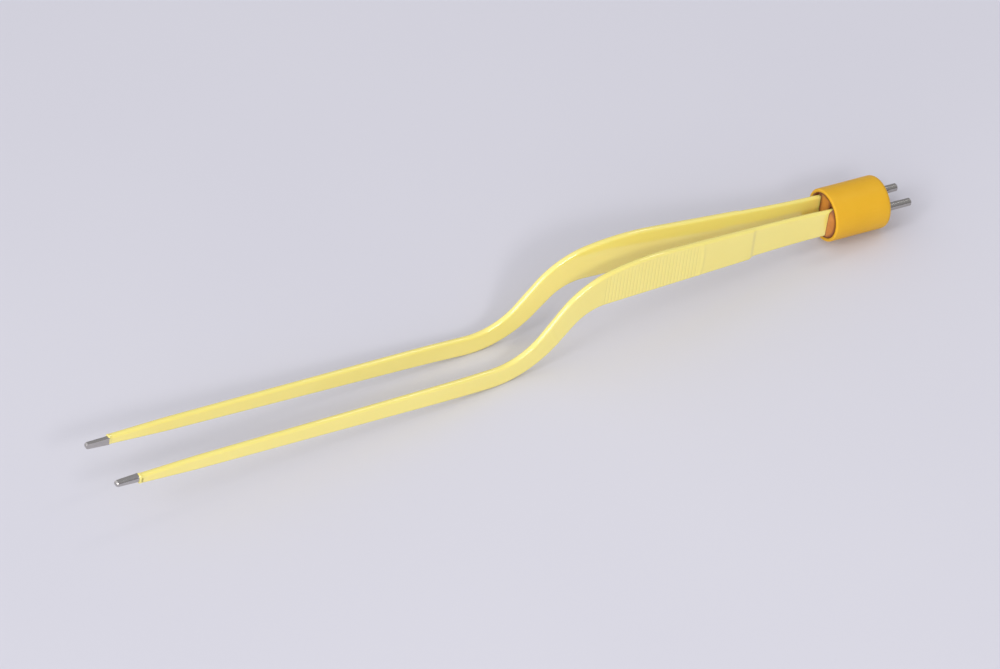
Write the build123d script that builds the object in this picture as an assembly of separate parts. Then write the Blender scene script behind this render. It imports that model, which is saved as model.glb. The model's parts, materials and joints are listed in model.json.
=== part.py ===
from build123d import *
import math
import os

os.makedirs("parts", exist_ok=True)

# Bayonet bipolar forceps with a two-pin connector. All sizes are in millimetres.
# The forceps are drawn on the connector's axis: +X runs from the tips to the pins, X = 0 is the cap's
# front rim, Y = 0 is the plane between the arms and Z = 0 is the cap's axis. A reach is measured from
# the rim towards the tips, a depth from the rim into the cap. At the end everything is tipped into
# the attitude in which the forceps lie on a table.

# Connector cap
cap_diameter = 13.3
cap_length = 16.0
cap_wall = 0.9
cap_web = 3.0
cap_rear_round = 1.0
cap_rim_bevel = 0.3

# Casting resin that fills the cap
resin_recess = 0.2

# Contact pins: a thin free end and a thicker shank that is slotted for the blade's tail
pin_diameter = 2.0
pin_spacing = 6.35
pin_reach = 7.3
pin_end_bevel = 0.3
shank_diameter = 2.8
shank_depth = 3.6

# Blade steel and its insulating coat
blade_thickness = 1.1
leaf_relief = 0.3
coat_thickness = 0.3
coat_edge_bevel = 0.4
coat_depth = 2.0
flex_gap = 0.25
slot_gap = 0.15

# Side view of a blade: a tapered shaft, the bayonet bend, the wide grip and the narrow spring leaf
tip_reach = 196.7
tip_drop = 18.0
tip_width = 1.46
taper_length = 21.0
taper_width = 3.15
shaft_drop = 17.4
shaft_width = 4.85
heel_reach = 86.9
heel_stagger = 2.2
upper_heel_radius = 18.0
lower_heel_radius = 25.5
brow_run = 15.15
brow_height = 2.9
brow_radius = 23.0
chin_run = 15.0
chin_height = -4.35
chin_radius = 12.5
crest_run = 16.55
crest_height = 6.3
crest_clearance = 0.38
shoulder_reach = 22.6
shoulder_height = -3.85
shoulder_step = 0.45
shoulder_run = 1.2
shoulder_radius = 1.5
leaf_top = 3.65
leaf_bottom = -3.3
taper_radius = 180.0

# Tail of a blade inside the cap
tongue_depth = 2.6
tongue_width = 4.4
tail_depth = 8.2

# Plan view of a blade: it bows away from its twin and runs almost parallel to it near the tips
tip_offset = 7.9
bow_reach = 104.0
bow_offset = 7.15
bow_radius = 400.0
splay_reach = 11.0
splay_radius = 300.0
relief_run = 1.0
relief_radius = 1.2

# Bare half-round tip
bare_length = 6.0
tip_opening = 14.2
closed_gap = 0.06
tip_nose_round = 0.5

# Serrated field on the outside of the grip, and the bead that ends it
field_front_reach = 64.6
field_rear_reach = 39.0
groove_pitch = 1.0
groove_width = 0.6
groove_depth = 0.15
field_margin = 0.1
bead_reach = 37.3
bead_radius = 0.45
bead_height = 0.2
bead_arc_radius = 22.0

# Worked out from the sizes above
cap_radius = cap_diameter / 2
cavity_radius = cap_radius - cap_wall
cavity_depth = cap_length - cap_web
tail_offset = pin_spacing / 2
half_blade = blade_thickness / 2
bare_end = -(tip_reach - bare_length)
root_depth = (shank_depth + tail_depth) / 2
root_offset = tail_offset - leaf_relief / 2
lower_heel_reach = heel_reach - heel_stagger
brow_reach = heel_reach - brow_run
crest_reach = brow_reach - crest_run
chin_reach = lower_heel_reach - chin_run
grip_slope = math.atan2(bow_offset - tail_offset, bow_reach - splay_reach)
beyond = 20.0


def shaft_height(reach):
    """Height of the shaft's centreline at a reach."""
    heel = heel_reach - heel_stagger / 2
    share = (reach - heel) / (tip_reach - heel)
    return -(shaft_drop + (tip_drop - shaft_drop) * share)


def closing_angle():
    """Turn of an arm, in radians, that lays its tip's flat along the middle plane and almost on it."""
    lever = tip_reach + root_depth
    spread = root_offset - tip_opening / 2
    stand_off = root_offset - closed_gap / 2
    return math.asin(stand_off / math.hypot(lever, spread)) - math.atan2(spread, lever)


def flat_offset(x):
    """Distance from the middle plane to the tip's flat at a place along X."""
    return tip_opening / 2 - (x + tip_reach) * math.tan(closing_angle())


def half_turn(before, corner, after):
    """Half the angle, in radians, through which an edge of the side view turns at a corner."""
    arriving = math.atan2(corner[1] - before[1], corner[0] - before[0])
    leaving = math.atan2(after[1] - corner[1], after[0] - corner[0])
    return abs(leaving - arriving) / 2


def crest_radius():
    """Radius of the arc over the crest, which begins a clearance behind the brow's arc."""
    heel = (-heel_reach, shaft_height(heel_reach) + shaft_width / 2)
    brow = (-brow_reach, brow_height)
    crest = (-crest_reach, crest_height)
    brow_arc = brow_radius * math.tan(half_turn(heel, brow, crest))
    crest_arc = math.dist(brow, crest) - brow_arc - crest_clearance
    return crest_arc / math.tan(half_turn(brow, crest, (0, leaf_top)))


def side_outline():
    """Outline of the steel blade in the plane of its grip, with the bends as arcs."""
    taper_reach = tip_reach - taper_length
    corners = [
        (-tip_reach, shaft_height(tip_reach) + tip_width / 2, 0),
        (-taper_reach, shaft_height(taper_reach) + taper_width / 2, taper_radius),
        (-heel_reach, shaft_height(heel_reach) + shaft_width / 2, upper_heel_radius),
        (-brow_reach, brow_height, brow_radius),
        (-crest_reach, crest_height, crest_radius()),
        (0, leaf_top, 0),
        (tongue_depth, leaf_top, 0),
        (tongue_depth, tongue_width / 2, 0),
        (tail_depth, tongue_width / 2, 0),
        (tail_depth, -tongue_width / 2, 0),
        (tongue_depth, -tongue_width / 2, 0),
        (tongue_depth, leaf_bottom, 0),
        (0, leaf_bottom, 0),
        (-shoulder_reach + shoulder_run / 2, shoulder_height + shoulder_step, shoulder_radius),
        (-shoulder_reach - shoulder_run / 2, shoulder_height, shoulder_radius),
        (-chin_reach, chin_height, chin_radius),
        (-lower_heel_reach, shaft_height(lower_heel_reach) - shaft_width / 2, lower_heel_radius),
        (-taper_reach, shaft_height(taper_reach) - taper_width / 2, taper_radius),
        (-tip_reach, shaft_height(tip_reach) - tip_width / 2, 0),
    ]
    points = [(x / math.cos(grip_slope), z) for x, z, radius in corners]
    radii = [radius for x, z, radius in corners]
    return make_face(FilletPolyline(*points, radius=radii, close=True))


def grip_line(x):
    """Offset of the blade's middle from the middle plane on the straight stretch through the grip."""
    share = (-x - splay_reach) / (bow_reach - splay_reach)
    return tail_offset + (bow_offset - tail_offset) * share


def plan_strip(skin):
    """Blade seen from above, with a skin of this thickness on both faces."""
    inner = -half_blade - skin
    outer = half_blade + skin
    front = -shoulder_reach - relief_run / 2
    rear = -shoulder_reach + relief_run / 2
    corners = [
        (-tip_reach, tip_offset + inner, 0),
        (-bow_reach, bow_offset + inner, bow_radius),
        (-splay_reach, tail_offset + inner, splay_radius),
        (tail_depth + beyond, tail_offset + inner, 0),
        (tail_depth + beyond, tail_offset + outer - leaf_relief, 0),
        (-splay_reach, tail_offset + outer - leaf_relief, splay_radius),
        (rear, grip_line(rear) + outer - leaf_relief, relief_radius),
        (front, grip_line(front) + outer, relief_radius),
        (-bow_reach, bow_offset + outer, bow_radius),
        (-tip_reach, tip_offset + outer, 0),
    ]
    points = [(x, y) for x, y, radius in corners]
    radii = [radius for x, y, radius in corners]
    return make_face(FilletPolyline(*points, radius=radii, close=True))


def upright(skin):
    """Side outline with a skin round it, run through square to the plane of the grip."""
    outline = offset(side_outline(), amount=skin) if skin else side_outline()
    through = extrude(Plane.XZ * outline, amount=beyond, both=True)
    return Pos(0, grip_line(0), 0) * Rot(0, 0, -math.degrees(grip_slope)) * through


def plate(skin):
    """Blade form with a skin all round: where its upright outline and its plan strip meet."""
    strip = Pos(0, 0, -2 * beyond) * extrude(plan_strip(skin), amount=4 * beyond)
    return upright(skin) & strip


def slab(x_from, x_to):
    """Block that takes in everything between two places along X."""
    middle = (x_from + x_to) / 2
    return Pos(middle, 0, 0) * Box(x_to - x_from, 4 * beyond, 4 * beyond)


def tip_section(x, width):
    """Half-round section of the bare tip: flat towards the other arm, round on the back."""
    height = shaft_height(-x)
    flat = flat_offset(x)
    back = tip_offset + half_blade
    side = back - width / 2
    low = height - width / 2
    high = height + width / 2
    lines = [
        Line((x, flat, low), (x, side, low)),
        ThreePointArc((x, side, low), (x, back, height), (x, side, high)),
        Line((x, side, high), (x, flat, high)),
        Line((x, flat, high), (x, flat, low)),
    ]
    return make_face(lines)


def bare_tip():
    """Half-round tip with a rounded nose, as wide at its root as the shaft's steel."""
    root_width = tip_width + (taper_width - tip_width) * bare_length / taper_length
    tip = loft([tip_section(-tip_reach, tip_width), tip_section(bare_end, root_width)])
    nose = tip.faces().sort_by(Axis.X)[0]
    rounded = nose.edges().sort_by(Axis.Y)[1:]
    return fillet(rounded, tip_nose_round)


def grooves(skin):
    """Vee grooves across the flat of the grip's outside, on the face that this skin ends in."""
    count = round((field_front_reach - field_rear_reach) / groove_pitch) + 1
    flat = upright(coat_thickness - coat_edge_bevel - field_margin)
    corners = [
        (-groove_width, groove_depth),
        (0, -groove_depth),
        (groove_width, groove_depth),
    ]
    vee = make_face(Polyline(*corners, close=True))
    prism = Pos(0, 0, -beyond) * extrude(vee, amount=2 * beyond)
    cuts = []
    for index in range(count):
        x = -field_rear_reach - index * groove_pitch
        face_y = grip_line(x) + half_blade + skin
        cut = Pos(x, face_y, 0) * Rot(0, 0, -math.degrees(grip_slope)) * prism
        cuts.append(cut & flat)
    return cuts


def between_corners(reach, far_reach, far_height, near_reach, near_height):
    """Height at a reach of the straight edge between two corners of the side outline."""
    share = (reach - near_reach) / (far_reach - near_reach)
    return near_height + (far_height - near_height) * share


def end_bead():
    """Low bead of coat, arched towards the cap, that closes the serrated field."""
    middle_y = grip_line(-bead_reach) + half_blade + coat_thickness + bead_height - bead_radius
    top = between_corners(bead_reach, crest_reach, crest_height, 0, leaf_top)
    bottom = between_corners(bead_reach, chin_reach, chin_height, shoulder_reach, shoulder_height)
    middle = (top + bottom) / 2
    half = (top - bottom) / 2 - coat_edge_bevel
    sag = bead_arc_radius - math.sqrt(bead_arc_radius**2 - half**2)
    path = ThreePointArc(
        (-bead_reach - sag, middle_y, middle - half),
        (-bead_reach, middle_y, middle),
        (-bead_reach - sag, middle_y, middle + half),
    )
    section = Plane(origin=path @ 0, z_dir=path % 0) * Circle(bead_radius)
    return sweep(section, path=path)


def blade():
    """Right blade: bare tip, shaft, bend, grip, leaf and tail in one piece of steel."""
    body = plate(0) & slab(bare_end, tail_depth)
    return body - grooves(0) + bare_tip()


def coating(steel):
    """Insulating coat round the right blade, with softened edges, from the bare tip into the cap."""
    skin = plate(coat_thickness) & slab(bare_end, coat_depth)
    long_edges = [e for e in skin.edges() if e.bounding_box().size.X > coat_thickness / 10]
    skin = chamfer(long_edges, coat_edge_bevel)
    bead = end_bead() - plate(coat_thickness / 2)
    return skin - grooves(coat_thickness) - steel + bead


def arm_pocket():
    """Room for a right arm's coated end and its tail inside the cap, with space to flex."""
    coated = plate(coat_thickness + flex_gap) & slab(-flex_gap, coat_depth + flex_gap)
    tail = plate(slot_gap) & slab(0, tail_depth + slot_gap)
    return coated + tail


def pin_blank():
    """Right contact pin before its slot is cut."""
    shank_length = cap_length - shank_depth
    shank = Cylinder(shank_diameter / 2, shank_length, align=(Align.CENTER, Align.CENTER, Align.MIN))
    free = Cylinder(pin_diameter / 2, pin_reach, align=(Align.CENTER, Align.CENTER, Align.MIN))
    free = chamfer(free.edges().sort_by(Axis.Z)[-1], pin_end_bevel)
    pin = shank + Pos(0, 0, shank_length) * free
    return Pos(shank_depth, tail_offset, 0) * Rot(0, 90, 0) * pin


def along_x(radius, x_from, x_to):
    """Cylinder on the cap's axis between two places along X."""
    turned = Rot(0, 90, 0) * Cylinder(radius, x_to - x_from)
    return Pos((x_from + x_to) / 2, 0, 0) * turned


def connector_cap(pins):
    """Cap with a closed rear web that the pins pass through."""
    body = along_x(cap_radius, 0, cap_length)
    rims = body.edges().filter_by(GeomType.CIRCLE).sort_by(Axis.X)
    body = fillet(rims[-1], cap_rear_round)
    rim = body.edges().filter_by(GeomType.CIRCLE).sort_by(Axis.X)[0]
    body = chamfer(rim, cap_rim_bevel)
    body -= along_x(cavity_radius, -beyond, cavity_depth)
    for pin in pins:
        body -= pin
    return body


def potting_resin(pins, pockets):
    """Resin between the cap's web and its mouth, round the pins and the arms' ends."""
    body = along_x(cavity_radius, resin_recess, cavity_depth)
    for piece in pins + pockets:
        body -= piece
    return body


def twin(piece):
    """The same piece on the left arm."""
    return mirror(piece, about=Plane.XZ)


def arc_centre(before, corner, after, radius):
    """Centre of the arc that rounds a corner between two others, in the side view."""
    to_before = (Vector(*before) - Vector(*corner)).normalized()
    to_after = (Vector(*after) - Vector(*corner)).normalized()
    bisector = (to_before + to_after).normalized()
    half_angle = math.radians(to_before.get_angle(to_after)) / 2
    return Vector(*corner) + bisector * (radius / math.sin(half_angle))


def resting_pose():
    """Tilt about Y, in degrees, and lift that lay the arms' heels and the cap's rear edge on one level."""
    taper_reach = tip_reach - taper_length
    heel = arc_centre(
        (-taper_reach, shaft_height(taper_reach) - taper_width / 2),
        (-lower_heel_reach, shaft_height(lower_heel_reach) - shaft_width / 2),
        (-chin_reach, chin_height),
        lower_heel_radius,
    )
    cap = Vector(cap_length - cap_rear_round, -(cap_radius - cap_rear_round))
    heel_radius = lower_heel_radius + coat_thickness
    between = cap - heel
    rise = math.asin((heel_radius - cap_rear_round) / between.length)
    tilt = rise + math.atan2(between.Y, between.X)
    level = -heel.X * math.sin(tilt) + heel.Y * math.cos(tilt) - heel_radius
    return math.degrees(tilt), -level


def build():
    """Every piece by name, lying on the level Z = 0 with the bounding box's middle over the origin."""
    steel = blade()
    coat = coating(steel)
    pocket = arm_pocket()
    pocket_pair = [pocket, twin(pocket)]
    blank = pin_blank()
    blank_pair = [blank, twin(blank)]
    pin = blank - pocket
    pieces = {
        "connector_cap": connector_cap(blank_pair),
        "potting_resin": potting_resin(blank_pair, pocket_pair),
        "right_contact_pin": pin,
        "left_contact_pin": twin(pin),
        "right_blade": steel,
        "left_blade": twin(steel),
        "right_coating": coat,
        "left_coating": twin(coat),
    }
    tilt, lift = resting_pose()
    lying = {name: Pos(0, 0, lift) * Rot(0, tilt, 0) * piece for name, piece in pieces.items()}
    boxes = [piece.bounding_box() for piece in lying.values()]
    shift = -(min(box.min.X for box in boxes) + max(box.max.X for box in boxes)) / 2
    return {name: Pos(shift, 0, 0) * piece for name, piece in lying.items()}, tilt, lift, shift


finished, rest_tilt, rest_lift, rest_shift = build()
for node, piece in finished.items():
    export_step(piece, f"parts/{node}.step")
print(f"closing angle {math.degrees(closing_angle()):.4f} degrees")
print(f"tilt {rest_tilt:.4f} degrees, lift {rest_lift:.4f}, shift {rest_shift:.4f}")
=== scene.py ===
from collections import namedtuple
import json
import math

import bpy
import numpy as np
from mathutils import Matrix, Quaternion, Vector


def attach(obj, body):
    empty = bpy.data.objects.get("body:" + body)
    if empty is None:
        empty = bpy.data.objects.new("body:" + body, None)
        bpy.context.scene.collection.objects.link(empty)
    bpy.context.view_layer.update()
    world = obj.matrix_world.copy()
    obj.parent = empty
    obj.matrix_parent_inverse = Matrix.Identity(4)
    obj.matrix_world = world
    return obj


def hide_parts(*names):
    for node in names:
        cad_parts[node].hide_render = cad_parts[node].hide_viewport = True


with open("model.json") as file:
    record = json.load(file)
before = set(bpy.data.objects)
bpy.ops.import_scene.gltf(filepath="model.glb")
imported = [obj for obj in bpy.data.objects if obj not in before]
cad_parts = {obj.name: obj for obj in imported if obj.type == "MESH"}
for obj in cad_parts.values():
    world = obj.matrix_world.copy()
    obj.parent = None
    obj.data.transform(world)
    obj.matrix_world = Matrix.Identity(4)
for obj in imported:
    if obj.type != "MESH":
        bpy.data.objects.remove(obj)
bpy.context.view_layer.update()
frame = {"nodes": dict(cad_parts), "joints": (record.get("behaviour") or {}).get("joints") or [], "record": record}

# The forceps are drawn on the connector's axis, in millimetres: x runs from the tips to the pins
# with zero at the cap's front rim, y is zero between the arms and z is zero on the cap's axis. The
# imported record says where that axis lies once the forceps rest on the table. A reach is measured
# from the rim towards the tips, a depth from the rim into the cap.
MM = 0.001

# Connector. The rear edge is a little softer than the CAD's.
cap_diameter = 13.3
cap_length = 16.0
cap_wall = 0.9
cap_web = 3.0
cap_rear_round = 1.2
cap_rim_round = 0.35
pin_spacing = 6.35
shank_depth = 3.6

# Steel and coat. The coat is 0.01 mm thinner than the CAD's, so that its smooth faces stay inside
# the CAD's facets.
blade_thickness = 1.1
leaf_relief = 0.3
coat_thickness = 0.29
coat_depth = 2.0
coat_round = 0.72
steel_round = 0.12

# Side view
tip_reach = 196.7
tip_drop = 18.0
tip_width = 1.46
taper_length = 21.0
taper_width = 3.15
taper_radius = 180.0
shaft_drop = 17.4
shaft_width = 4.85
upper_heel_reach = 86.9
upper_heel_radius = 18.0
lower_heel_reach = 84.7
lower_heel_radius = 25.5
brow_reach = 71.75
brow_height = 2.9
brow_radius = 23.0
chin_reach = 69.7
chin_height = -4.35
chin_radius = 12.5
crest_reach = 55.2
crest_height = 6.3
crest_radius = 68.0
shoulder_reach = 22.6
shoulder_height = -3.85
shoulder_step = 0.45
shoulder_run = 1.2
shoulder_radius = 1.5
leaf_top = 3.65
leaf_bottom = -3.3
leaf_radius = 40.0
tongue_depth = 2.6
tongue_width = 4.4
tail_depth = 8.2
side_overrun = 2.0

# Plan view
tip_offset = 7.9
bow_reach = 104.0
bow_offset = 7.15
bow_radius = 400.0
splay_reach = 11.0
splay_radius = 300.0
relief_run = 1.0
relief_radius = 1.2
plan_overrun = 5.0

# Bare tip: flat towards the other arm, round on the back
bare_length = 6.0
tip_opening = 14.2
nose_round = 0.7
flat_edge_round = 0.07
back_round_share = 0.48

# Rounded lip at the coat's front end. Its edges tighten by a share of what the round takes off.
lip_round = 0.16
lip_swell = 0.07
lip_length = 0.9
lip_tightening = 0.5

# Serrated field on the outside of the grip, and the arched bead that ends it
field_front_reach = 64.6
field_rear_reach = 39.0
groove_pitch = 1.0
groove_width = 0.6
groove_depth = 0.055
bead_reach = 37.3
bead_width = 0.42
bead_height = 0.1
bead_arc_radius = 22.0

# Resin that creeps up the outer face of an arm, more at its lower edge than at its upper one
creep_at_bottom = 1.35
creep_drop = 0.3
creep_power = 2.4
creep_fade = 0.9
creep_front = 0.1
creep_root = 0.3
creep_gap = 0.02
creep_end_gap = 0.03

# Fineness of the arms' meshes: lengths in millimetres, angles in degrees. Flat shares run along a
# flat side of a section. Lip shares count rounds of the lip from its front, and bare shares run
# from the nose's round to the coat. The shaft's rings begin a share of a coarse step behind the
# end of the bare tip.
same_point = 1e-9
arc_step = 0.25
fewest_arc_steps = 4
fewest_steps = 2
corner_steps = 7
flat_shares = (0.2, 0.4, 0.6, 0.8)
coat_fine_step = 0.08
coat_coarse_step = 0.5
steel_step = 1.0
first_ring_share = 0.3
field_margin = 1.5
relief_margin = 2.0
lip_shares = (0.0, 0.06, 0.15, 0.3, 0.5, 0.75, 1.0, 1.8, 2.8, 4.0, 5.6)
nose_angles = (8, 16, 24, 33, 42, 52, 62, 72, 81, 90)
bare_shares = (0.1, 0.25, 0.4, 0.55, 0.7, 0.85, 1.0)
sharp_angle = 40
steel_sharp_angle = 35

# Fineness of the cap's and the crept resin's meshes
cap_segments = 128
cap_hub_radius = 0.4
cap_rear_ring = 3.5
bore_depths = (10.0, 7.0, 4.0, 2.0, 1.0)
barrel_depths = (2.0, 4.0, 6.0, 8.0, 10.0, 12.0, 14.0)
rim_steps = 6
rear_steps = 12
creep_rows = 28
creep_columns = 12

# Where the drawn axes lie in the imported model
mounts = {mount["name"]: mount for mount in frame["record"]["mounts"]}
joints = {joint["name"]: joint for joint in frame["joints"]}
along = Vector(mounts["right_pin"]["axis"])
upward = Vector(joints["right_arm_flex"]["axis"])
across = Vector((0, 1, 0))
root = Vector(joints["right_arm_flex"]["pos_m"])
root_offset = pin_spacing / 2 - leaf_relief / 2
root_depth = (shank_depth + tail_depth) / 2
rim_centre = root - along * root_depth * MM - across * root_offset * MM
closing = math.radians(joints["right_arm_flex"]["range_deg"][1])

taper_reach = tip_reach - taper_length
bare_end = -(tip_reach - bare_length)
last_groove = round((field_front_reach - field_rear_reach) / groove_pitch)


def place(x, y, z):
    """A drawn point, in millimetres, as it lies on the table, in metres."""
    return rim_centre + along * (x * MM) + across * (y * MM) + upward * (z * MM)


# Outlines

Path = namedtuple("Path", "points tangents lengths corner_lengths")


def unit(vector):
    """Vector of length 1 in the same direction."""
    return vector / np.linalg.norm(vector)


def rounded_path(corners):
    """Straight lines joined by arcs, from corners that give two coordinates and a radius each."""
    spots = [np.array(corner[:2], float) for corner in corners]
    points = [spots[0]]
    corner_numbers = [0]
    for index in range(1, len(corners) - 1):
        before, corner, after = spots[index - 1:index + 2]
        radius = corners[index][2]
        to_before = unit(before - corner)
        to_after = unit(after - corner)
        half = math.acos(np.clip(to_before @ to_after, -1, 1)) / 2
        bisector = unit(to_before + to_after)
        centre = corner + bisector * radius / math.sin(half)
        start = corner + to_before * radius / math.tan(half)
        turn = math.pi - 2 * half
        steps = max(fewest_arc_steps, int(radius * turn / arc_step))
        sense = np.sign(to_before[0] * to_after[1] - to_before[1] * to_after[0])
        spoke = start - centre
        for number in range(steps + 1):
            angle = -sense * turn * number / steps
            cos, sin = math.cos(angle), math.sin(angle)
            turned = (cos * spoke[0] - sin * spoke[1], sin * spoke[0] + cos * spoke[1])
            points.append(centre + np.array(turned))
            if number == steps // 2:
                corner_numbers.append(len(points) - 1)
    points.append(spots[-1])
    corner_numbers.append(len(points) - 1)
    points = np.array(points)
    strides = np.linalg.norm(np.diff(points, axis=0), axis=1)
    lengths = np.concatenate([[0], np.cumsum(strides)])
    corner_lengths = [lengths[number] for number in corner_numbers]
    apart = np.concatenate([[True], strides > same_point])
    points, lengths = points[apart], lengths[apart]
    tangents = np.gradient(points, lengths, axis=0)
    tangents /= np.linalg.norm(tangents, axis=1)[:, None]
    return Path(points, tangents, lengths, corner_lengths)


def shaft_height(reach):
    """Height of the shaft's centreline at a reach."""
    heel = (upper_heel_reach + lower_heel_reach) / 2
    return -(shaft_drop + (tip_drop - shaft_drop) * (reach - heel) / (tip_reach - heel))


top_path = rounded_path([
    (-tip_reach, shaft_height(tip_reach) + tip_width / 2, 0),
    (-taper_reach, shaft_height(taper_reach) + taper_width / 2, taper_radius),
    (-upper_heel_reach, shaft_height(upper_heel_reach) + shaft_width / 2, upper_heel_radius),
    (-brow_reach, brow_height, brow_radius),
    (-crest_reach, crest_height, crest_radius),
    (0, leaf_top, leaf_radius),
    (tail_depth + side_overrun, leaf_top, 0),
])
bottom_path = rounded_path([
    (-tip_reach, shaft_height(tip_reach) - tip_width / 2, 0),
    (-taper_reach, shaft_height(taper_reach) - taper_width / 2, taper_radius),
    (-lower_heel_reach, shaft_height(lower_heel_reach) - shaft_width / 2, lower_heel_radius),
    (-chin_reach, chin_height, chin_radius),
    (-shoulder_reach - shoulder_run / 2, shoulder_height, shoulder_radius),
    (-shoulder_reach + shoulder_run / 2, shoulder_height + shoulder_step, shoulder_radius),
    (0, leaf_bottom, leaf_radius),
    (tail_depth + side_overrun, leaf_bottom, 0),
])


def plan_points(face):
    """One face of the steel in plan: face is -1 on the inside and 1 on the outside."""
    shift = face * blade_thickness / 2
    slope = (bow_offset - pin_spacing / 2) / (bow_reach - splay_reach)
    relief = leaf_relief if face > 0 else 0.0
    front = shoulder_reach + relief_run / 2
    rear = shoulder_reach - relief_run / 2
    corners = [(-tip_reach, tip_offset + shift, 0), (-bow_reach, bow_offset + shift, bow_radius)]
    if face > 0:
        for reach, drop in ((front, 0.0), (rear, relief)):
            offset = pin_spacing / 2 + slope * (reach - splay_reach) + shift - drop
            corners.append((-reach, offset, relief_radius))
    corners.append((-splay_reach, pin_spacing / 2 + shift - relief, splay_radius))
    corners.append((tail_depth + plan_overrun, pin_spacing / 2 + shift - relief, 0))
    return rounded_path(corners).points


plan_inner = plan_points(-1)
plan_outer = plan_points(1)


def plan_faces(skin):
    """Functions of x for an arm's inner and outer face in plan, moved outwards by a skin."""

    def inner_of(x):
        return float(np.interp(x, plan_inner[:, 0], plan_inner[:, 1])) - skin

    def outer_of(x):
        return float(np.interp(x, plan_outer[:, 0], plan_outer[:, 1])) + skin

    return inner_of, outer_of


def edge_point(path, length, skin, face):
    """Point on an edge of the side view, moved outwards: face is 1 on the top edge and -1 below."""
    x, z = (np.interp(length, path.lengths, path.points[:, column]) for column in (0, 1))
    tx, tz = (np.interp(length, path.lengths, path.tangents[:, column]) for column in (0, 1))
    size = math.hypot(tx, tz)
    return np.array([x - face * tz / size * skin, z + face * tx / size * skin])


def height_at(path, x, skin, face):
    """Height of an edge of the side view at a place along x, moved outwards by a skin."""
    shifted_x = path.points[:, 0] - face * path.tangents[:, 1] * skin
    shifted_z = path.points[:, 1] + face * path.tangents[:, 0] * skin
    order = np.argsort(shifted_x)
    return float(np.interp(x, shifted_x[order], shifted_z[order]))


def flat_offset(x):
    """Distance from the middle plane to the bare tip's flat, which closes on the other tip's."""
    return tip_opening / 2 - (x + tip_reach) * math.tan(closing)


def bell(share):
    """Smooth fall from 1 at the middle to 0 at a share of 1 and beyond."""
    return 0.5 * (1 + math.cos(math.pi * min(share, 1)))


def round_inset(radius, away):
    """How far the sides of a rounded end stand in at a distance behind its front."""
    return radius - math.sqrt(max(radius**2 - max(radius - away, 0) ** 2, 0))


def groove(x):
    """Depth of the rounded cross grooves at a place along x."""
    if not -field_front_reach - groove_width < x < -field_rear_reach + groove_width:
        return 0.0
    number = min(max(round(-(x + field_rear_reach) / groove_pitch), 0), last_groove)
    away = abs(x + field_rear_reach + number * groove_pitch)
    return groove_depth * bell(away / (groove_width / 2))


def bead(x, z):
    """Height of the arched bead that ends the field."""
    centre_x = -bead_reach - bead_arc_radius
    centre_z = (crest_height + chin_height) / 2
    away = (math.hypot(x - centre_x, z - centre_z) - bead_arc_radius) / bead_width
    return bead_height * math.exp(-away * away)


# Meshes


def new_piece(name, vertices, faces):
    """Object with a mesh of its own, in the scene."""
    mesh = bpy.data.meshes.new(name)
    mesh.from_pydata([tuple(vertex) for vertex in vertices], [], faces)
    mesh.validate()
    mesh.update()
    piece = bpy.data.objects.new(name, mesh)
    bpy.context.scene.collection.objects.link(piece)
    return piece


def flipped(faces):
    """The same faces turned inside out."""
    return [face[::-1] for face in faces]


def smooth(piece, degrees):
    """Smooth shading that keeps edges sharper than an angle."""
    for polygon in piece.data.polygons:
        polygon.use_smooth = True
    piece.data.set_sharp_from_angle(angle=math.radians(degrees))


def section(inner_round, outer_round, width, thickness):
    """Rounded rectangle as (across, height) pairs: across is 0 inside and the thickness outside."""
    outline = []
    spots = [
        (thickness - outer_round, width - outer_round, outer_round, 90),
        (inner_round, width - inner_round, inner_round, 180),
        (inner_round, inner_round, inner_round, 270),
        (thickness - outer_round, outer_round, outer_round, 360),
    ]
    for number, (centre_y, centre_z, radius, last) in enumerate(spots):
        for step in range(corner_steps + 1):
            angle = math.radians(last - 90 + 90 * step / corner_steps)
            y = centre_y + radius * math.cos(angle)
            outline.append((y, centre_z + radius * math.sin(angle)))
        next_y, next_z, next_radius, _ = spots[(number + 1) % len(spots)]
        angle = math.radians(last)
        start = outline[-1]
        end = (next_y + next_radius * math.cos(angle), next_z + next_radius * math.sin(angle))
        for share in flat_shares:
            y = start[0] + (end[0] - start[0]) * share
            outline.append((y, start[1] + (end[1] - start[1]) * share))
    return outline


def ring_between(side, low, high, inner_of, outer_of, rounds, textured=False):
    """Ring of points round an arm between two points of its side view. A side is -1 on the left."""
    width = math.hypot(high[0] - low[0], high[1] - low[1])
    direction = ((high[0] - low[0]) / width, (high[1] - low[1]) / width)
    middle = (low[0] + high[0]) / 2
    thickness = outer_of(middle) - inner_of(middle)
    ring = []
    for over, height in section(*rounds, width, thickness):
        x = low[0] + direction[0] * height
        z = low[1] + direction[1] * height
        share = over / thickness
        inner, outer = inner_of(x), outer_of(x)
        y = inner + (outer - inner) * share
        if textured:
            outwards = max(0.0, (share - 0.5) * 2)
            y = min(y, outer - groove(x)) + bead(x, z) * outwards**2
        ring.append(place(x, side * y, z))
    return ring


def skin_piece(name, rings, side):
    """Closed piece over a row of rings, with one face at each end."""
    around = len(rings[0])
    faces = []
    for row in range(len(rings) - 1):
        for column in range(around):
            a = row * around + column
            b = row * around + (column + 1) % around
            faces.append((a, b, b + around, a + around))
    faces.append(tuple(range(around))[::-1])
    faces.append(tuple(range((len(rings) - 1) * around, len(rings) * around)))
    vertices = [point for ring in rings for point in ring]
    return new_piece(name, vertices, faces if side > 0 else flipped(faces))


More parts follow.
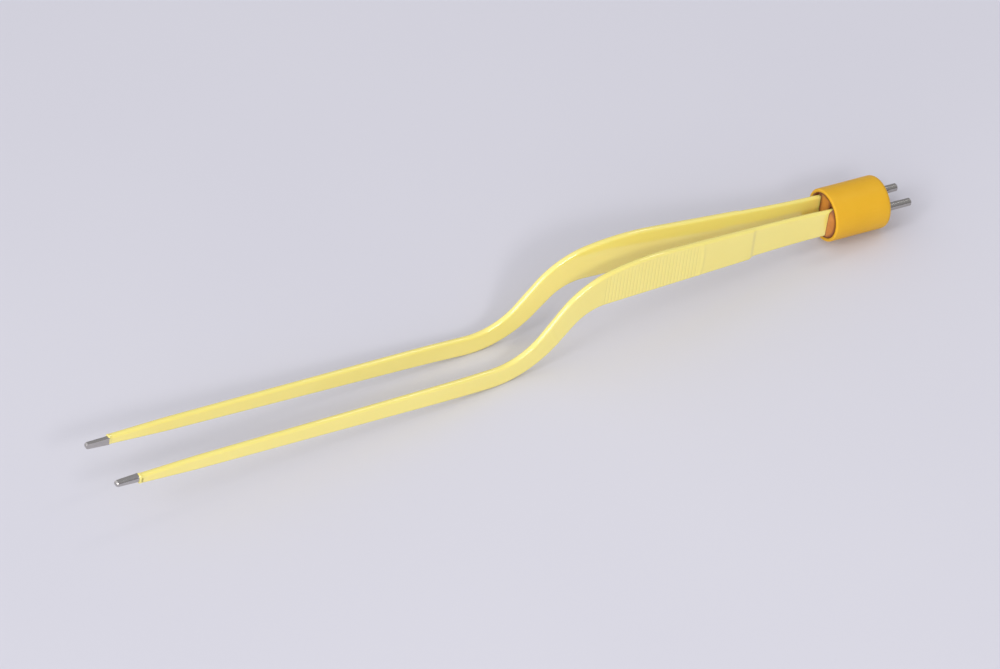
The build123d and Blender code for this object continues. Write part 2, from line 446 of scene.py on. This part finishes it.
def shaft_stations(step):
    """Matching lengths along both edges, from the front of the side view to the grip."""
    starts = []
    for path in (top_path, bottom_path):
        grip = float(np.interp(-field_front_reach - field_margin, path.points[:, 0], path.lengths))
        taper, heel, bend = path.corner_lengths[1:4]
        starts.append([0.0, taper, heel, bend, grip])
    tops, bottoms = starts
    pairs = []
    for index in range(len(tops) - 1):
        span = tops[index + 1] - tops[index]
        steps = max(fewest_steps, int(span / step))
        for number in range(steps):
            share = number / steps
            low = bottoms[index] + (bottoms[index + 1] - bottoms[index]) * share
            pairs.append((tops[index] + span * share, low))
    return pairs


def grip_stations(fine, coarse, end):
    """Places along x from the grip's front to an end, close together where there is fine detail."""
    places = []
    x = -field_front_reach - field_margin
    while x < end:
        places.append(x)
        detailed = x < -bead_reach + field_margin or abs(x + shoulder_reach) < relief_margin
        x += fine if detailed else coarse
    return places + [end]


def arm_rings(side, skin, end, fine, coarse, edge_round, textured=False):
    """Rings of an arm from the root of its bare tip to an end inside the cap."""
    inner_of, outer_of = plan_faces(skin)
    rounds = (edge_round, edge_round)
    rings = []
    for top, bottom in shaft_stations(coarse):
        high = edge_point(top_path, top, skin, 1)
        low = edge_point(bottom_path, bottom, skin, -1)
        if min(high[0], low[0]) > bare_end + coarse * first_ring_share:
            rings.append(ring_between(side, low, high, inner_of, outer_of, rounds, textured))
    for x in grip_stations(fine, coarse, end):
        high = (x, height_at(top_path, x, skin, 1))
        low = (x, height_at(bottom_path, x, skin, -1))
        if x > tongue_depth:
            high, low = (x, tongue_width / 2), (x, -tongue_width / 2)
        rings.append(ring_between(side, low, high, inner_of, outer_of, rounds, textured))
    return rings


def coat(side, name):
    """Insulating coat of one arm, with a thick rounded lip at its front end."""
    inner_of, outer_of = plan_faces(coat_thickness)
    rings = []
    for share in lip_shares:
        away = lip_round * share
        x = bare_end + away
        grow = lip_swell * bell(away / lip_length) - round_inset(lip_round, away)
        drawn_in = min(grow, 0)
        edge_round = coat_round + drawn_in * lip_tightening
        rings.append(ring_between(
            side,
            (x, height_at(bottom_path, x, coat_thickness, -1) - grow),
            (x, height_at(top_path, x, coat_thickness, 1) + grow),
            lambda q: inner_of(q) - grow,
            lambda q: outer_of(q) + drawn_in,
            (edge_round, edge_round),
        ))
    steps = (coat_fine_step, coat_coarse_step)
    rings += arm_rings(side, coat_thickness, coat_depth, *steps, coat_round, textured=True)
    piece = skin_piece(name, rings, side)
    smooth(piece, sharp_angle)
    return piece


def blade(side, name):
    """Steel of one arm: half-round bare tip, hidden core and tail."""
    nose = [nose_round * (1 - math.cos(math.radians(angle))) for angle in nose_angles]
    bare = [nose_round + (bare_length - nose_round) * share for share in bare_shares]
    rings = []
    for away in nose + bare:
        x = -tip_reach + away
        inset = round_inset(nose_round, away)
        top = height_at(top_path, x, 0, 1) - inset
        bottom = height_at(bottom_path, x, 0, -1) + inset
        back = tip_offset + blade_thickness / 2 - inset
        width = top - bottom
        depth = back - flat_offset(x)
        rounds = (flat_edge_round * min(1, width), min(width, depth) * back_round_share)
        rings.append(ring_between(side, (x, bottom), (x, top), flat_offset, lambda q: back, rounds))
    rings += arm_rings(side, 0.0, tail_depth, steel_step, steel_step, steel_round)
    piece = skin_piece(name, rings, side)
    smooth(piece, steel_sharp_angle)
    return piece


def turned_piece(name, profile):
    """Closed piece turned about the cap's axis, from (depth, radius) pairs."""
    vertices, faces = [], []
    for depth, radius in profile:
        for number in range(cap_segments):
            angle = 2 * math.pi * number / cap_segments
            vertices.append(place(depth, radius * math.cos(angle), radius * math.sin(angle)))
    for row in range(len(profile) - 1):
        for number in range(cap_segments):
            a = row * cap_segments + number
            b = row * cap_segments + (number + 1) % cap_segments
            faces.append((a, a + cap_segments, b + cap_segments, b))
    faces.append(tuple(range(cap_segments)))
    faces.append(tuple(range((len(profile) - 1) * cap_segments, len(profile) * cap_segments))[::-1])
    piece = new_piece(name, vertices, faces)
    smooth(piece, sharp_angle)
    return piece


def arc(centre_depth, centre_radius, size, start, end, steps):
    """Arc of a turned profile, from one angle to another in degrees."""
    turns = [math.radians(start + (end - start) * step / steps) for step in range(steps + 1)]
    return [
        (centre_depth + size * math.cos(turn), centre_radius + size * math.sin(turn))
        for turn in turns
    ]


def connector_cap():
    """Moulded cap: open mouth, rounded rim, plain barrel and softly rounded rear edge."""
    outside = cap_diameter / 2
    inside = outside - cap_wall
    web_depth = cap_length - cap_web
    rear_depth = cap_length - cap_rear_round
    profile = [(web_depth, cap_hub_radius), (web_depth, inside)]
    profile += [(depth, inside) for depth in bore_depths]
    profile += arc(cap_rim_round, inside + cap_rim_round, cap_rim_round, 270, 180, rim_steps)
    profile += arc(cap_rim_round, outside - cap_rim_round, cap_rim_round, 180, 90, rim_steps)
    profile += [(depth, outside) for depth in barrel_depths]
    profile += arc(rear_depth, outside - cap_rear_round, cap_rear_round, 90, 0, rear_steps)
    profile += [(cap_length, cap_rear_ring), (cap_length, cap_hub_radius)]
    return turned_piece("cap_shell", profile)


def resin_shoulder(side, name):
    """Resin that has crept up the outer face of one arm and falls to the cap's rim."""
    inside = cap_diameter / 2 - cap_wall - creep_gap
    face = pin_spacing / 2 + blade_thickness / 2 - leaf_relief + coat_thickness + creep_gap
    half = math.sqrt(inside**2 - face**2) - creep_end_gap
    front, back = [], []
    for row in range(creep_rows + 1):
        z = -half + 2 * half * row / creep_rows
        creep = creep_at_bottom - creep_drop * row / creep_rows
        limit = math.sqrt(inside**2 - z**2)
        fade = min(1.0, (limit - face) / creep_fade)
        for column in range(creep_columns + 1):
            share = column / creep_columns
            y = face + (limit - face) * share
            x = -creep * (1 - share) ** creep_power * fade + creep_front
            front.append(place(x, side * y, z))
            back.append(place(creep_root, side * y, z))
    row_count = creep_columns + 1
    total = len(front)
    faces = []
    for row in range(creep_rows):
        for column in range(creep_columns):
            a = row * row_count + column
            quad = (a, a + 1, a + 1 + row_count, a + row_count)
            faces.append(quad)
            faces.append(tuple(total + number for number in quad[::-1]))
    border = list(range(creep_columns))
    border += [row * row_count + creep_columns for row in range(creep_rows)]
    border += [creep_rows * row_count + column for column in range(creep_columns, 0, -1)]
    border += [row * row_count for row in range(creep_rows, 0, -1)]
    for a, b in zip(border, border[1:] + border[:1]):
        faces.append((a, total + a, total + b, b))
    piece = new_piece(name, front + back, flipped(faces) if side > 0 else faces)
    smooth(piece, sharp_angle)
    return piece


# Materials


def new_material(name):
    """Node material, with its nodes, its links and its shader."""
    material = bpy.data.materials.new(name)
    material.use_nodes = True
    nodes = material.node_tree.nodes
    return material, nodes, material.node_tree.links, nodes["Principled BSDF"]


def noise(nodes, links, coords, scale, detail, rough=0.5, stretch=None):
    """Noise texture in the object's own coordinates, with a scale in features a metre."""
    texture = nodes.new("ShaderNodeTexNoise")
    texture.inputs["Scale"].default_value = scale
    texture.inputs["Detail"].default_value = detail
    texture.inputs["Roughness"].default_value = rough
    place_in = coords.outputs["Object"]
    if stretch:
        mapping = nodes.new("ShaderNodeMapping")
        mapping.inputs["Scale"].default_value = stretch
        links.new(place_in, mapping.inputs["Vector"])
        place_in = mapping.outputs["Vector"]
    links.new(place_in, texture.inputs["Vector"])
    return texture


def ramp(nodes, links, source, stops):
    """Colour ramp from (position, colour) stops."""
    node = nodes.new("ShaderNodeValToRGB")
    elements = node.color_ramp.elements
    while len(elements) < len(stops):
        elements.new(0.5)
    for element, (position, colour) in zip(elements, stops):
        element.position = position
        element.color = (*colour, 1)
    links.new(source, node.inputs["Fac"])
    return node


def map_range(nodes, links, source, low, high, start=0.0, end=1.0):
    """Number between start and end mapped to a range from low to high."""
    node = nodes.new("ShaderNodeMapRange")
    node.inputs["From Min"].default_value = start
    node.inputs["From Max"].default_value = end
    node.inputs["To Min"].default_value = low
    node.inputs["To Max"].default_value = high
    links.new(source, node.inputs["Value"])
    return node


def maths(nodes, links, operation, *sources):
    """Maths on one or two numbers."""
    node = nodes.new("ShaderNodeMath")
    node.operation = operation
    for source, socket in zip(sources, node.inputs):
        links.new(source, socket)
    return node


def vector_maths(nodes, links, operation, source, fixed=(0, 0, 0)):
    """Maths on a vector and a fixed one."""
    node = nodes.new("ShaderNodeVectorMath")
    node.operation = operation
    node.inputs[1].default_value = fixed
    links.new(source, node.inputs[0])
    return node


def bump(nodes, links, shader, source, distance, under=None):
    """Bump of a height in metres on the shader's normal, over another bump if there is one."""
    node = nodes.new("ShaderNodeBump")
    node.inputs["Distance"].default_value = distance
    node.inputs["Strength"].default_value = 1.0
    links.new(source, node.inputs["Height"])
    if under:
        links.new(under.outputs["Normal"], node.inputs["Normal"])
    links.new(node.outputs["Normal"], shader.inputs["Normal"])
    return node


def translucence(shader, weight, radius):
    """Light that enters the plastic and spreads by a radius in metres for each colour."""
    shader.inputs["Subsurface Weight"].default_value = weight
    shader.inputs["Subsurface Radius"].default_value = radius
    shader.inputs["Subsurface Scale"].default_value = 1.0


def coat_material():
    """Glossy pale yellow nylon: a little translucent, faintly mottled and softly uneven."""
    material, nodes, links, shader = new_material("yellow_nylon_coat")
    coords = nodes.new("ShaderNodeTexCoord")
    broad = noise(nodes, links, coords, scale=70, detail=3)
    colour = ramp(nodes, links, broad.outputs["Fac"], [
        (0.30, (0.895, 0.76, 0.188)),
        (0.55, (0.905, 0.775, 0.198)),
        (0.80, (0.915, 0.79, 0.21)),
    ])
    links.new(colour.outputs["Color"], shader.inputs["Base Color"])
    gloss = noise(nodes, links, coords, scale=260, detail=4)
    rough = map_range(nodes, links, gloss.outputs["Fac"], low=0.13, high=0.19)
    links.new(rough.outputs["Result"], shader.inputs["Roughness"])
    peel = noise(nodes, links, coords, scale=850, detail=2)
    wave = noise(nodes, links, coords, scale=170, detail=2)
    waves = bump(nodes, links, shader, wave.outputs["Fac"], distance=0.000018)
    bump(nodes, links, shader, peel.outputs["Fac"], distance=0.000002, under=waves)
    translucence(shader, 0.12, (0.0012, 0.0009, 0.0004))
    shader.inputs["IOR"].default_value = 1.5
    shader.inputs["Coat Weight"].default_value = 1.0
    shader.inputs["Coat Roughness"].default_value = 0.06
    shader.inputs["Coat IOR"].default_value = 1.75
    return material


def cap_material():
    """Satin orange-yellow moulded plastic with a fine grain and faint marks."""
    material, nodes, links, shader = new_material("orange_cap_plastic")
    coords = nodes.new("ShaderNodeTexCoord")
    broad = noise(nodes, links, coords, scale=110, detail=4)
    colour = ramp(nodes, links, broad.outputs["Fac"], [
        (0.28, (0.725, 0.385, 0.013)),
        (0.5, (0.755, 0.41, 0.016)),
        (0.75, (0.785, 0.435, 0.021)),
    ])
    links.new(colour.outputs["Color"], shader.inputs["Base Color"])
    gloss = noise(nodes, links, coords, scale=420, detail=4)
    rough = map_range(nodes, links, gloss.outputs["Fac"], low=0.42, high=0.55)
    links.new(rough.outputs["Result"], shader.inputs["Roughness"])
    grain = noise(nodes, links, coords, scale=2600, detail=3)
    bump(nodes, links, shader, grain.outputs["Fac"], distance=0.000018)
    shader.inputs["Specular IOR Level"].default_value = 0.32
    translucence(shader, 0.08, (0.001, 0.0005, 0.0001))
    return material


def resin_material():
    """Brown-orange casting resin, uneven and semi-gloss, with painted shade that darkens it at the wall and beside
    the arms.
    """
    material, nodes, links, shader = new_material("casting_resin")
    coords = nodes.new("ShaderNodeTexCoord")
    broad = noise(nodes, links, coords, scale=420, detail=4)
    colour = ramp(nodes, links, broad.outputs["Fac"], [
        (0.3, (0.47, 0.165, 0.024)),
        (0.7, (0.61, 0.235, 0.038)),
    ])
    # Painted shade: the resin's colour fades to dark brown near the cap's wall and in a band beside each arm,
    # where the recessed mouth lies in shadow.
    shade_start_radius, shade_full_radius, arm_shade_span = 4.9 * MM, 5.6 * MM, 6.0 * MM
    offset = vector_maths(nodes, links, "SUBTRACT", coords.outputs["Object"], rim_centre)
    away = vector_maths(nodes, links, "CROSS_PRODUCT", offset.outputs["Vector"], along)
    radius = vector_maths(nodes, links, "LENGTH", away.outputs["Vector"])
    wall = map_range(nodes, links, radius.outputs["Value"], 0.0, 1.0, shade_start_radius, shade_full_radius)
    split = nodes.new("ShaderNodeSeparateXYZ")
    links.new(offset.outputs["Vector"], split.inputs["Vector"])
    sideways = maths(nodes, links, "ABSOLUTE", split.outputs["Y"])
    band = map_range(nodes, links, sideways.outputs["Value"], 0.0, 1.0, end=arm_shade_span)
    arm_painted_shade = ramp(nodes, links, band.outputs["Result"], [
        (0.16, (0, 0, 0)),
        (0.33, (1, 1, 1)),
        (0.62, (1, 1, 1)),
        (0.64, (0, 0, 0)),
    ])
    painted_shade = maths(nodes, links, "MAXIMUM", wall.outputs["Result"], arm_painted_shade.outputs["Color"])
    mix = nodes.new("ShaderNodeMix")
    mix.data_type = "RGBA"
    links.new(painted_shade.outputs["Value"], mix.inputs["Factor"])
    links.new(colour.outputs["Color"], mix.inputs["A"])
    # Dark brown of the painted shade
    mix.inputs["B"].default_value = (0.16, 0.035, 0.008, 1)
    links.new(mix.outputs["Result"], shader.inputs["Base Color"])
    rough = map_range(nodes, links, broad.outputs["Fac"], low=0.25, high=0.5)
    links.new(rough.outputs["Result"], shader.inputs["Roughness"])
    bump(nodes, links, shader, broad.outputs["Fac"], distance=0.00015)
    return material


def metal_material(name, colour, scale, stretch):
    """Polished metal with fine marks drawn along one direction."""
    streak_shade = 0.86
    material, nodes, links, shader = new_material(name)
    coords = nodes.new("ShaderNodeTexCoord")
    streaks = noise(nodes, links, coords, scale=scale, detail=5, rough=0.6, stretch=stretch)
    tint = ramp(nodes, links, streaks.outputs["Fac"], [
        (0.3, tuple(c * streak_shade for c in colour)),
        (0.7, colour),
    ])
    links.new(tint.outputs["Color"], shader.inputs["Base Color"])
    rough = map_range(nodes, links, streaks.outputs["Fac"], low=0.08, high=0.18)
    links.new(rough.outputs["Result"], shader.inputs["Roughness"])
    bump(nodes, links, shader, streaks.outputs["Fac"], distance=0.0000006)
    shader.inputs["Metallic"].default_value = 1.0
    return material


def dress(piece, material):
    """One material on every face of a piece."""
    piece.data.materials.clear()
    piece.data.materials.append(material)


# Camera, from the photograph's viewing angle: angles in degrees, places in drawn millimetres
camera_azimuth = -34.587
camera_elevation = 37.317
camera_roll = 7.766
camera_aim = (-90.758, -1.742, -9.017)
camera_distance = 1840.5
camera_lens = 278.18
sensor_width = 36.0

# Studio, in metres
lamp_distance = 1.6
floor_half = 3.0
clip_near = 0.01
clip_far = 20.0


def make_camera():
    """Long lens that looks down on the forceps from in front of the tips and to their left."""
    turn, lift, roll = (math.radians(a) for a in (camera_azimuth, camera_elevation, camera_roll))
    ca, sa = math.cos(turn), math.sin(turn)
    ce, se = math.cos(lift), math.sin(lift)
    cr, sr = math.cos(roll), math.sin(roll)
    right = np.array([ca, sa, 0.0])
    up = np.array([-sa * se, ca * se, ce])
    ahead = np.array([-sa * ce, ca * ce, -se])
    turned_right = cr * right + sr * up
    turned_up = -sr * right + cr * up
    data = bpy.data.cameras.new("camera")
    data.lens = camera_lens
    data.sensor_width = sensor_width
    data.clip_start = clip_near
    data.clip_end = clip_far
    camera = bpy.data.objects.new("camera", data)
    bpy.context.scene.collection.objects.link(camera)
    drawn_axes = Matrix((along, across, upward)).transposed()
    axes = Matrix([drawn_axes @ Vector(axis) for axis in (turned_right, turned_up, -ahead)])
    spot = np.array(camera_aim) - ahead * camera_distance
    camera.matrix_world = Matrix.Translation(place(*spot)) @ axes.transposed().to_4x4()
    bpy.context.scene.camera = camera


def area_light(name, azimuth, elevation, size, power, length=None, roll=0.0):
    """Soft lamp that looks at the origin: a square, or a strip of some length rolled by an angle.

    Angles are in degrees, and an azimuth turns from -Y towards +X.
    """
    turn, lift = math.radians(azimuth), math.radians(elevation)
    facing = (math.sin(turn) * math.cos(lift), -math.cos(turn) * math.cos(lift), math.sin(lift))
    spot = Vector(facing) * lamp_distance
    data = bpy.data.lights.new(name, "AREA")
    data.shape = "RECTANGLE"
    data.size = length or size
    data.size_y = size
    data.energy = power
    lamp = bpy.data.objects.new(name, data)
    bpy.context.scene.collection.objects.link(lamp)
    lamp.location = spot
    rolled = spot.to_track_quat("Z", "Y") @ Quaternion((0, 0, 1), math.radians(roll))
    lamp.rotation_euler = rolled.to_euler()


def make_floor():
    """Plain pale floor under the forceps."""
    corners = [(-1, -1), (1, -1), (1, 1), (-1, 1)]
    vertices = [(x * floor_half, y * floor_half, 0) for x, y in corners]
    floor = new_piece("floor", vertices, [(0, 1, 2, 3)])
    material, nodes, links, shader = new_material("pale_paper")
    coords = nodes.new("ShaderNodeTexCoord")
    broad = noise(nodes, links, coords, scale=6, detail=2)
    colour = ramp(nodes, links, broad.outputs["Fac"], [
        (0.3, (0.635, 0.625, 0.69)),
        (0.7, (0.655, 0.645, 0.705)),
    ])
    links.new(colour.outputs["Color"], shader.inputs["Base Color"])
    shader.inputs["Roughness"].default_value = 0.85
    dress(floor, material)


def make_world():
    """Surroundings: pale above and at the tips' end, dim at the pins' end and near the table."""
    world = bpy.data.worlds.new("studio")
    world.use_nodes = True
    nodes, links = world.node_tree.nodes, world.node_tree.links
    background = nodes["Background"]
    coords = nodes.new("ShaderNodeTexCoord")
    split = nodes.new("ShaderNodeSeparateXYZ")
    links.new(coords.outputs["Generated"], split.inputs["Vector"])
    sky = ramp(nodes, links, split.outputs["Z"], [
        (0.0, (0.25, 0.245, 0.245)),
        (0.3, (0.82, 0.82, 0.84)),
        (1.0, (0.92, 0.93, 0.97)),
    ])
    links.new(sky.outputs["Color"], background.inputs["Color"])
    lengthways = map_range(nodes, links, split.outputs["X"], low=0.0, high=1.0, start=-1.0)
    level = ramp(nodes, links, lengthways.outputs["Result"], [
        (0.0, (0.96, 0.96, 0.96)),
        (0.42, (0.86, 0.86, 0.86)),
        (0.62, (0.42, 0.42, 0.42)),
        (1.0, (0.42, 0.42, 0.42)),
    ])
    strength = map_range(nodes, links, level.outputs["Color"], low=0.0, high=1.22)
    links.new(strength.outputs["Result"], background.inputs["Strength"])
    bpy.context.scene.world = world


make_camera()
make_floor()
make_world()
area_light("front_softbox", azimuth=-7.8, elevation=34, size=0.2, power=5.8, length=0.5, roll=21.7)
area_light("left_softbox", azimuth=-74, elevation=39, size=0.5, power=5)
area_light("low_fill", azimuth=-45, elevation=18, size=1.0, power=5.2)
area_light("top_lamp", azimuth=95, elevation=56, size=0.25, power=1.1)
bpy.context.scene.view_settings.view_transform = "Standard"

nylon = coat_material()
steel = metal_material("polished_steel", (0.57, 0.545, 0.53), scale=5200, stretch=(0.15, 1.0, 1.0))
nickel = metal_material("nickel_pin", (0.51, 0.485, 0.46), scale=4200, stretch=(1.0, 0.2, 0.2))
orange = cap_material()
resin = resin_material()

for side, hand in ((-1, "left"), (1, "right")):
    piece = coat(side, hand + "_nylon_coat")
    dress(piece, nylon)
    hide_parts(hand + "_coating")
    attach(piece, hand + "_arm")
    piece = blade(side, hand + "_steel_blade")
    dress(piece, steel)
    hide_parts(hand + "_blade")
    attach(piece, hand + "_arm")
    piece = resin_shoulder(side, hand + "_resin_shoulder")
    dress(piece, resin)
    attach(piece, "connector")
    dress(frame["nodes"][hand + "_contact_pin"], nickel)

shell = connector_cap()
dress(shell, orange)
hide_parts("connector_cap")
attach(shell, "connector")
dress(frame["nodes"]["potting_resin"], resin)
